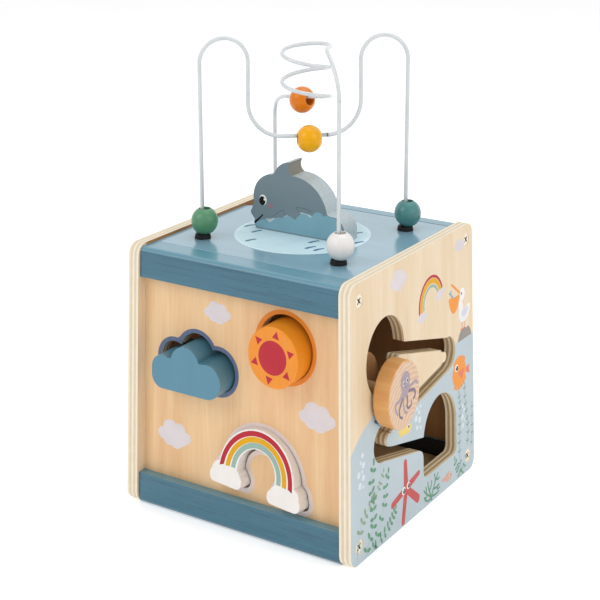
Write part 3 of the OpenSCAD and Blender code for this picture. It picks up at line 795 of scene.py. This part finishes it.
def plant(sheet, stem, pairs, size, width, leaf_ink, stem_ink, level, lift=0.35, clear=()):
    """Stem with pairs of upturned leaves along it; none are drawn near the points in clear."""
    line = spline(stem, 8)
    sheet.add(tone(stem_ink), stroke(stem, 0.7, 0.5), level)
    for i in range(pairs):
        k = int((i + 0.6) / pairs * (len(line) - 2))
        at, ahead = line[k], line[k + 1]
        along = math.degrees(math.atan2(ahead[1] - at[1], ahead[0] - at[0])) - 90
        reach = size * (1.0 - 0.2 * i / pairs)
        for side in (1, -1):
            middle = turned([(0.5 * reach * side, 0.5 * lift * reach)], along)[0]
            middle = (at[0] + middle[0], at[1] + middle[1])
            if any(math.dist(middle, c) < SCREW_CLEAR for c in clear):
                continue
            tilt = along + math.degrees(math.atan(lift)) * side
            blade = oval(middle, 0.5 * reach, 0.5 * width, tilt, 16)
            sheet.add(tone(leaf_ink), blade, level + 1 + 0.2 * (i % 3))
    tip = (line[-1][0], line[-1][1] + 0.4 * size)
    sheet.add(tone(leaf_ink), oval(tip, 0.45 * width, 0.5 * size, 0.0, 16), level + 1)


def coral(sheet):
    """Small branching green weed beside the pink fish."""
    branches = [
        [(21.6, 0.8), (23, 6), (27.5, 11.6), (32, 16.4)],
        [(21.6, 0.8), (20.5, 5.1), (17.4, 11), (16.1, 15.6)],
        [(20.6, 4.4), (15, 7.6), (10.2, 12)],
        [(20.8, 3), (16, 2.8), (11.4, 5.4)],
        [(24.2, 8), (29, 7.4), (33.6, 8)],
        [(22.2, 4), (28, 3), (33, 3.6)],
        [(27, 11), (27.6, 14.4), (26.4, 17.6)],
        [(18.4, 9), (21.6, 11.6), (22, 14.6)],
        [(15.4, 7.4), (13.4, 5.8), (10.6, 7)],
        [(30, 7.4), (31.6, 5.4), (34.4, 5.8)],
        [(13.6, 9), (14.2, 11), (13.2, 13.4)],
        [(29.6, 13.6), (31.8, 12), (34, 12.6)],
    ]
    for number, line in enumerate(branches):
        sheet.add(tone("leaf"), stroke(line, 1.6, 1.2), 2 + 0.2 * number)


def bubbles(sheet, spots, level):
    for u, v, r in spots:
        sheet.add(tone("bubble"), disc((u, v), r, 20), level)


def sky_pictures(sheet):
    """Clouds, small rainbow and pelican on the bare upper part of the side."""
    sheet.add(tone("cloud"), puff((-25, 167), 24, 15))
    sheet.add(tone("cloud"), puff((69.5, 167.5), 16, 9.5))
    for colour, r0, r1 in (("red", 17.2, 19.2), ("amber", 13.4, 16.9), ("mint", 10.6, 12.6)):
        sheet.add(tone(colour), arc_band((23.5, 138.3), r0, r1, 20, 193))
    sheet.add(tone("cloud"), puff((10, 131.6), 15, 7), 2)
    sheet.add(tone("cloud"), turned(puff((38, 140.8), 16, 7), 12, (38, 140.8)), 2)
    pelican(sheet)


def pelican(sheet):
    """Pelican on a rock, with a fish's tail over its pouch."""
    rock = [(65.6, 97.5), (67.4, 101.2), (70, 104), (74, 104.9), (78, 105.4), (80.3, 104.3), (82.4, 105.3)]
    rock += [(84.6, 104), (87, 101.4), (88.4, 98.2)]
    sheet.add(tone("rock"), spline(rock, 4) + [(88, 97.5)], 2)
    for leg in (73.2, 77):
        sheet.add(tone("pink"), stroke([(leg, 111), (leg + 0.3, 105.4)], 0.9), 2)
        sheet.add(tone("salmon"), stroke([(leg + 0.4, 105.4), (leg - 2.4, 105.2)], 1.1), 3)
    body = [(69, 124), (67.6, 117), (69.5, 112.2), (74.5, 110.2), (80.5, 111), (84.5, 114.2), (87, 120.6)]
    body += [(81, 120.8), (75.5, 119.6), (74, 124)]
    sheet.add(tone("white"), spline(body, 4, closed=True), 3)
    wing = [(72, 117.5), (77, 119.4), (83.5, 119.2), (80.5, 114.6), (75, 113.8)]
    sheet.add(tone("wing"), spline(wing, 4, closed=True), 4)
    sheet.add(tone("white"), stroke([(71.4, 130), (70.8, 124), (71.2, 118)], 5.2, 6.6), 3.3)
    sheet.add(tone("white"), oval((73.3, 130.8), 4.4, 4.6), 3.6)
    sheet.add(tone("plum"), disc((72.4, 131.4), 1.1, 16), 5)
    sheet.add(tone("orange"), stroke([(56, 142), (62, 138), (69.3, 132.8)], 1.5, 2.0), 4)
    sheet.add(tone("wave"), stroke([(53.8, 136.6), (56, 134), (58.4, 131.6)], 1.2, 2.4), 3)
    sheet.add(tone("wave"), leaf((54.6, 135.8), 165, 3.0, 1.8), 3.3)
    sheet.add(tone("wave"), leaf((54.6, 135.8), 80, 2.6, 1.8), 3.6)
    pouch = [(51.6, 132.8), (60, 131.7), (69.4, 131.4), (67.4, 126), (64.4, 122), (60, 120.4), (55.8, 122.2)]
    sheet.add(tone("orange"), spline(pouch + [(53, 126.8)], 4, closed=True), 4.5)


def starfish(sheet):
    """Starfish with two eyes. An arm is its tip and its width at the root and at the tip."""
    heart = (-16.2, 23.6)
    arms = [((-17, 41.4), 6.6, 4.6), ((2.6, 27.4), 5.6, 3.4), ((0.8, 10.6), 5.0, 6.0)]
    arms += [((-20.6, 2.6), 5.6, 4.6), ((-35.4, 19.8), 4.6, 4.4)]
    sheet.add(tone("coral"), disc(heart, 4.6), 4)
    for number, (tip, w0, w1) in enumerate(arms):
        middle = ((heart[0] + tip[0]) / 2, (heart[1] + tip[1]) / 2)
        sheet.add(tone("coral"), stroke([heart, middle, tip], w0, w1), 4.2 + 0.2 * number)
    eyes(sheet, (-19.4, 23.2), 2.7, 6, "olive")
    eyes(sheet, (-12.8, 24.6), 2.4, 6, "olive")


def spiky_fish(sheet):
    """Round orange fish with spines on its back and belly."""
    tail = [(77, 75.4), (81, 76), (84.6, 76.6), (83.4, 73.6), (84.8, 70.4), (80.6, 71.6)]
    sheet.add(tone("salmon"), spline(tail, 3, closed=True), 3)
    at = (67.6, 75.2)
    sheet.add(tone("orange"), oval(at, 11.2, 9.7), 4)
    for k, degrees in enumerate((128, 111, 95, 79, 62, 46, -38, -56, -74, -91, -108, -126)):
        a = math.radians(degrees)
        root = (at[0] + 10.6 * math.cos(a), at[1] + 9.1 * math.sin(a))
        sheet.add(tone("orange"), leaf(root, degrees, 3.2, 3.6), 4.1 + 0.1 * (k % 2))
    fin = [(66, 75.6), (71, 76.2), (75.6, 76.6), (74, 72.8), (71, 69.8), (68.6, 72.4)]
    sheet.add(tone("salmon"), spline(fin, 3, closed=True), 5)
    eyes(sheet, (63.2, 79.8), 2.6, 5)


def small_fishes(sheet):
    """A yellow, a pink and a blue fish."""
    body = [(-27.4, 65.4), (-21, 65.3), (-14, 66), (-8.6, 64.6), (-7.2, 63), (-9.6, 60.6), (-15, 59.8)]
    body += [(-21, 61), (-26.8, 60.4), (-25, 63)]
    sheet.add(tone("lemon"), spline(body, 4, closed=True), 3)
    eyes(sheet, (-12.2, 64.2), 1.6, 4, "olive")
    sheet.add(tone("pink"), oval((48.2, 7.6), 5.8, 3.2, -4), 3)
    sheet.add(tone("pink"), leaf((44, 7.6), 170, 6.2, 2.6), 3.4)
    eyes(sheet, (51.2, 8.4), 1.2, 4, "plum")
    sheet.add(tone("wave"), oval((-51, 80.2), 6.5, 2.8, -22), 3)
    sheet.add(tone("navy"), leaf((-54, 81.5), 158, 7.2, 2.8), 3.5)


def sea_pictures(sheet):
    """Weeds, bubbles, starfish and fishes on the water."""
    screws = ((-80.5, 11), (80.5, 11))
    green = dict(leaf_ink="leaf", stem_ink="stem", level=2, clear=screws)
    olive = dict(leaf_ink="moss", stem_ink="stem", level=1, clear=screws)
    pale = dict(leaf_ink="vine", stem_ink="vine", level=1, lift=0.7, clear=screws)
    tall = [(-72, 1), (-69, 8), (-63, 14.5), (-61.4, 20), (-62.3, 27.3), (-61.5, 34), (-64.2, 41)]
    plant(sheet, tall + [(-64, 48), (-61, 56)], 9, 5.2, 2.7, **green)
    second = [(-64, 1), (-58.6, 6.8), (-52.4, 15.8), (-47, 24), (-45.1, 31), (-45, 38), (-41, 43.5)]
    plant(sheet, second, 7, 4.2, 2.4, **green)
    low = [(-62, 1), (-52.5, 5), (-45.4, 6.6), (-39.2, 9.5), (-35, 12.7), (-31, 16)]
    plant(sheet, low, 7, 4.6, 2.3, **green)
    curved = [(-83.5, 3), (-81.5, 12), (-79, 21), (-73.5, 27.6), (-66, 31.5), (-61.6, 34.4)]
    plant(sheet, curved, 7, 5.0, 2.4, **olive)
    plant(sheet, [(-62, 34), (-55.2, 37.4), (-51.8, 41.6), (-47.6, 46.4)], 4, 3.2, 1.7, **olive)
    coral(sheet)
    plant(sheet, [(70, 3), (67, 18), (67.5, 35), (68.6, 50), (66.6, 60)], 10, 3.0, 1.3, **pale)
    plant(sheet, [(80, 19), (81.5, 30), (79, 42), (77, 53), (76, 64)], 8, 3.0, 1.3, **pale)
    plant(sheet, [(86, 16), (88.3, 26), (88, 37), (88.6, 46)], 5, 2.2, 1.1, **pale)
    plant(sheet, [(68, 1.5), (64.6, 6), (62.2, 10), (59, 15)], 4, 3.6, 1.9, **green)
    plant(sheet, [(70, 1.5), (74, 6), (77, 10.5)], 3, 3.0, 1.7, **green)
    bubbles(sheet, ((-76, 67.5, 1.6), (-78.5, 63.5, 1.3), (-75, 61, 2.0), (-76.5, 57.3, 1.2)), 1)
    bubbles(sheet, ((-81, 56.5, 2.2), (-75, 53, 2.1), (-79.5, 49, 2.2), (-75, 47, 1.1)), 1)
    bubbles(sheet, ((1.2, 71.5, 1.5), (5.8, 72, 1.2), (3.8, 68.3, 1.5), (-0.8, 65.4, 2.2)), 1)
    bubbles(sheet, ((4.6, 63, 2.2), (0.8, 58.6, 1.7), (6, 57.2, 1.4)), 1)
    bubbles(sheet, ((73, 49.5, 1.6), (75.6, 45.6, 1.9), (72.4, 41.6, 2.4)), 1)
    bubbles(sheet, ((76.2, 38.6, 1.5), (72.8, 35.4, 2.1)), 1)
    starfish(sheet)
    spiky_fish(sheet)
    small_fishes(sheet)


PRINT_MARGIN = 1.0


def side_place(u, v, lift):
    """A point on the right side panel; nothing is printed beyond its edges."""
    u = min(max(u, SIDE_LO.y + PRINT_MARGIN), SIDE_HI.y - PRINT_MARGIN)
    return (FACE_X + lift, u, max(v, SIDE_LO.z + PRINT_MARGIN))


side_sheet = Sheet("right_side_prints", "case", side_place)
sky_pictures(side_sheet)
sea_pictures(side_sheet)
side_sheet.build((1, 0, 0))

front_sheet = Sheet("front_prints", "case", lambda u, v, lift: (u, FACE_Y - lift, v))
RIM = 3.0
# The cloud hole is on the left; of the other two, the sun hole is the upper one
for loop in hole_loops("front_panel", Y, FACE_Y)[1:]:
    middle_u = sum(p[0] for p in loop) / len(loop)
    middle_v = sum(p[1] for p in loop) / len(loop)
    colour = "slate" if middle_u < 0 else "rim_orange" if middle_v > 100 else "rim_white"
    front_sheet.add(tone(colour), grown(loop, RIM), 1, [loop])
for at, w, h in (((-20, 141), 23, 15), ((62, 87), 29, 19), ((-57.5, 50), 29, 19)):
    front_sheet.add(tone("cloud"), puff(at, w, h))
front_sheet.build((0, -1, 0))


def middle_of(node):
    lo, hi = span(node)
    return (lo + hi) / 2


def sun_print():
    """Red disc and six rays on an orange face."""
    lo, hi = span("sun_block")
    at = middle_of("sun_block")
    sheet = Sheet("sun_print", "sun", lambda u, v, lift: (at.x + u, lo.y - lift, at.z + v))
    sheet.add(tone("tangerine"), disc((0, 0), (hi.x - lo.x) / 2 - 1.1, 64))
    sheet.add(tone("red"), disc((0, 0), 11.3, 48), 2)
    for k in range(6):
        ray = [(13.2, -2.9), (18.4, 0), (13.2, 2.9)]
        sheet.add(tone("red"), turned(ray, 19 + 60 * k), 2)
    sheet.build((0, -1, 0))


def rainbow_print():
    """Coloured bands on the block's face, which is turned by tilt in its plane and leans about pivot."""
    tilt = 4.8
    lean = math.radians(8)
    stands_out = 9.5
    pivot = Vector((18.15, FACE_Y + PLY / 2, 39.02))

    def place(u, v, lift):
        u, v = turned([(u, v)], -tilt)[0]
        y = -PLY / 2 - stands_out - lift
        return (
            pivot.x + u,
            pivot.y + y * math.cos(lean) + v * math.sin(lean),
            pivot.z - y * math.sin(lean) + v * math.cos(lean),
        )

    sheet = Sheet("rainbow_print", "rainbow", place)
    low = 1.5
    bands = (("red", 26.4, 29.8, 0), ("amber", 21.4, 25.0, 1.1), ("mint", 16.9, 20.4, 2.0))
    for colour, r0, r1, rise in bands:
        outer = arc((0, rise), r1, 0, 180, 40)
        inner = arc((0, rise), r0, 180, 0, 40)
        band = [(r1, low)] + outer + [(-r1, low), (-r0, low)] + inner + [(r0, low)]
        sheet.add(tone(colour), band)
    sheet.build((0, -math.cos(lean), math.sin(lean)))


def octopus_print():
    """Octopus on the knob's face."""
    at = middle_of("slider_knob")
    sheet = Sheet("knob_print", "slider", lambda u, v, lift: (KNOB_X + lift, at.y + u, at.z + v))
    arms = [
        ("lilac", 2.7, 2.0, [(3, 4), (7.6, 3.6), (12, 4.2), (16, 4.4), (18.2, 2.4)]),
        ("plum", 2.5, 2.0, [(3.4, 1.2), (9.4, 0.4), (13.9, -1.1), (15.1, -4), (12.9, -6.2)]),
        ("plum", 2.2, 1.6, [(3.1, -0.8), (3.9, -5.2), (3.2, -8.2), (5.6, -10.3), (8.9, -9.4), (9.6, -7.1)]),
        ("lilac", 2.4, 1.7, [(-1.3, -0.2), (-1.6, -6), (0.4, -11.4), (3.4, -12.4)]),
        ("plum", 2.4, 1.7, [(-1.6, -0.2), (-4.9, -3.9), (-7.6, -7.9), (-6.8, -12), (-3.3, -14)]),
        ("lilac", 2.6, 1.8, [(-3.1, 1.2), (-7.5, -1.4), (-11.9, -2.4), (-12.8, -5.4), (-10.2, -9.5)]),
    ]
    for number, (colour, w0, w1, line) in enumerate(arms):
        sheet.add(tone(colour), stroke(line, w0, w1), 1 + 0.3 * number)
    head = [(0.6, 3.2, 6.6), (0, -2.8, 4.8), (-2.6, -4, 2.6), (2.6, -4, 2.6)]
    sheet.add(tone("lilac"), lobed((0.4, 5.6), head), 4)
    for u, v in ((-1.2, 7.8), (3.7, 8.7)):
        sheet.add(tone("white"), oval((u, v), 1.15, 1.7), 5)
        sheet.add(tone("black"), oval((u + 0.25, v - 0.1), 0.7, 1.15), 6)
    sheet.add(tone("plum"), stroke([(0.4, 5.2), (1.8, 4.6), (3.2, 5.2)], 0.5), 5)
    sheet.build((1, 0, 0))


def dolphin_print():
    """Face, fin outlines and the wave it leaps from, on the dolphin's front."""
    sheet = Sheet("dolphin_print", "lid", lambda u, v, lift: (u, DOLPHIN_LO.y - lift, v))
    crest = [(-41.2, 181.8), (-38.9, 183.1), (-35, 185.1), (-32, 185.4), (-27.6, 184), (-23.6, 187.1)]
    crest += [(-20.3, 188.7), (-16.4, 188.9), (-12.5, 190.8), (-8.1, 190.5), (-5.3, 189.1), (-2.5, 192.2)]
    crest += [(0.8, 194.1), (4.6, 194.4), (8.6, 192.6), (10.6, 195.1), (13.8, 197.3), (17.4, 197)]
    crest += [(19.6, 195.2), (22.5, 196.1), (26.2, 195.8), (29.4, 194.9), (35, 190.4)]
    low = LID_Z + 0.9
    below = [(36.2, 184), (36, low), (-38.8, low), (-40.6, 180.4)]
    sheet.add(tone("crest", X), [(-32, 186.2), (-27, 186.8), (-22.6, 188.2), (-25, 185), (-27.6, 183.6)], 2)
    glint = [(-1.4, 195.3), (3.5, 195.1), (8.6, 194.4), (9.6, 193.2), (8.6, 192), (4.6, 193.8), (0.8, 193.6)]
    sheet.add(tone("crest", X), glint, 1)
    sheet.add(tone("crest", X), [(-16, 189.4), (-12.4, 191.6), (-10, 190.6), (-12.5, 190)], 1)
    sheet.add(tone("wave", X), spline(crest, 4) + below, 2.5)
    sheet.add(tone("white"), oval((-33.9, 199.7), 3.3, 3.9), 2)
    sheet.add(tone("black"), oval((-34.5, 199.0), 2.8, 3.3), 3)
    sheet.add(tone("white"), disc((-32.4, 200.2), 0.9, 16), 4)
    sheet.add(tone("blush", X), disc((-27, 196.3), 1.6), 2)
    sheet.add(tone("black"), stroke([(-41, 182.4), (-38.4, 184.6), (-34.2, 188.6)], 1.9, 0.9), 3)
    front_fin = [(-24.8, 189), (-20.3, 192.4), (-16.4, 194.4), (-14.2, 192)]
    back_fin = [(-1, 195.4), (-4.2, 198.4), (1.3, 198.5), (5.7, 198), (10, 196.8)]
    for fin in (front_fin, back_fin):
        sheet.add(tone("line", X), stroke(fin, 0.4), 2)
    sheet.build((0, -1, 0))


def lid_print():
    """Pond with short ripples around the dolphin."""
    sheet = Sheet("lid_prints", "lid", lambda u, v, lift: (u, v, LID_Z + lift))
    at, r = (-2.5, 1), 51
    sheet.add(tone("pond_rim", X), disc(at, r, 96))
    sheet.add(tone("pond", X), disc(at, r - 2.6, 96), 2)
    marks = ((-47.8, -2.1), (-34.8, -11.7), (-25.9, -32.4), (15.5, -11.4), (20.8, -24.6), (28.5, -25.5))
    marks += ((31.8, 24.1), (44, 4), (-20, 30), (6, 40))
    for mark in marks:
        ripple = moved([(-1.4, -3.6), (-0.4, 0), (1.4, 3.0)], *mark)
        sheet.add(tone("ripple", X), stroke(ripple, 3.0, 2.2), 3)
    sheet.build((0, 0, 1))


sun_print()
rainbow_print()
octopus_print()
dolphin_print()
lid_print()

# ---------------------------------------------------------------- stage

SWEEP = 4.0
FLOOR_GLOW = 0.35
PAPER_WHITE = 1.05
SKY_LIGHT = 0.6
floor_mesh = bpy.data.meshes.new("floor")
corners = [(-SWEEP, -SWEEP, 0), (SWEEP, -SWEEP, 0), (SWEEP, SWEEP, 0), (-SWEEP, SWEEP, 0)]
floor_mesh.from_pydata(corners, [], [(0, 1, 2, 3)])
floor = bpy.data.objects.new("studio_floor", floor_mesh)
bpy.context.scene.collection.objects.link(floor)
g = Graph("studio_white")
speckle = g.noise(g.coords, 3.0, 2.0, 0.5)
floor_white = g.mix(speckle, rgb("#fbfbfb"), rgb("#f7f7f7"))
g.put(g.bsdf.inputs["Emission Color"], floor_white)
g.bsdf.inputs["Emission Strength"].default_value = FLOOR_GLOW
floor_mesh.materials.append(g.done(floor_white, 0.9))

world = bpy.data.worlds.new("studio")
bpy.context.scene.world = world
world.use_nodes = True
sky = world.node_tree.nodes["Background"]
sky.inputs[0].default_value = (1.0, 1.0, 1.0, 1.0)
# The paper behind the toy is pure white, and so are its reflections; what it sheds on the toy is weaker
seen = world.node_tree.nodes.new("ShaderNodeLightPath")
strength = world.node_tree.nodes.new("ShaderNodeMapRange")
strength.inputs["To Min"].default_value = SKY_LIGHT
strength.inputs["To Max"].default_value = PAPER_WHITE
mirrored = world.node_tree.nodes.new("ShaderNodeMath")
mirrored.operation = "MAXIMUM"
world.node_tree.links.new(seen.outputs["Is Camera Ray"], mirrored.inputs[0])
world.node_tree.links.new(seen.outputs["Is Glossy Ray"], mirrored.inputs[1])
world.node_tree.links.new(mirrored.outputs[0], strength.inputs["Value"])
world.node_tree.links.new(strength.outputs[0], sky.inputs[1])


def softbox(name, at, aim, size, power):
    """Square area light of that size at a place, aimed at a point."""
    data = bpy.data.lights.new(name, "AREA")
    data.size = size
    data.energy = power
    lamp = bpy.data.objects.new(name, data)
    bpy.context.scene.collection.objects.link(lamp)
    lamp.location = at
    lamp.rotation_euler = (Vector(aim) - Vector(at)).to_track_quat("-Z", "Y").to_euler()


softbox("key", (-0.9, -1.5, 1.5), (0, 0, 0.12), 1.2, 12)
softbox("fill", (1.7, -0.3, 1.0), (0, 0, 0.12), 1.2, 6.3)
softbox("top", (0.2, 0.4, 1.9), (0, 0, 0.1), 1.5, 11)

# ---------------------------------------------------------------- camera

# Fitted to the corners of the case in the photograph
AZIMUTH, ELEVATION, ROLL = math.radians(32.44), math.radians(-3.74), math.radians(-0.09)
CAMERA_AT = (0.5960, -0.9430, 0.4967)
LENS, SENSOR = 88.203, 36.0
SHIFT_Y = -0.9855
flat_back = Vector((math.sin(AZIMUTH), -math.cos(AZIMUTH), 0.0))
back = flat_back * math.cos(ELEVATION) + Vector((0.0, 0.0, math.sin(ELEVATION)))
level = Vector((math.cos(AZIMUTH), math.sin(AZIMUTH), 0.0))
upright = back.cross(level)
right = level * math.cos(ROLL) + upright * math.sin(ROLL)
up = upright * math.cos(ROLL) - level * math.sin(ROLL)
camera_data = bpy.data.cameras.new("camera")
camera_data.sensor_width = SENSOR
camera_data.lens = LENS
camera_data.clip_start, camera_data.clip_end = 0.05, 20.0
camera = bpy.data.objects.new("camera", camera_data)
bpy.context.scene.collection.objects.link(camera)
turn = Matrix([[right[i], up[i], back[i]] for i in range(3)])
camera.matrix_world = Matrix.Translation(Vector(CAMERA_AT)) @ turn.to_4x4()
camera.rotation_mode = "XYZ"
bpy.context.scene.camera = camera
# The lens is shifted, as on a view camera, while the camera is turned by Euler angles (mode 1). When it is
# turned by a quaternion (mode 0), to look from another side, the lens is centred and the toy stays in frame.
shift = camera_data.driver_add("shift_y")
shift.driver.type = "SUM"
turn_mode = shift.driver.variables.new()
turn_mode.name = "mode"
turn_mode.targets[0].id = camera
turn_mode.targets[0].data_path = "rotation_mode"
# A new driver has a generator that gives 0 + 1 * mode
shift.modifiers[0].coefficients = (0.0, SHIFT_Y)

bpy.context.scene.view_settings.view_transform = "Standard"
bpy.context.scene.view_settings.look = "None"
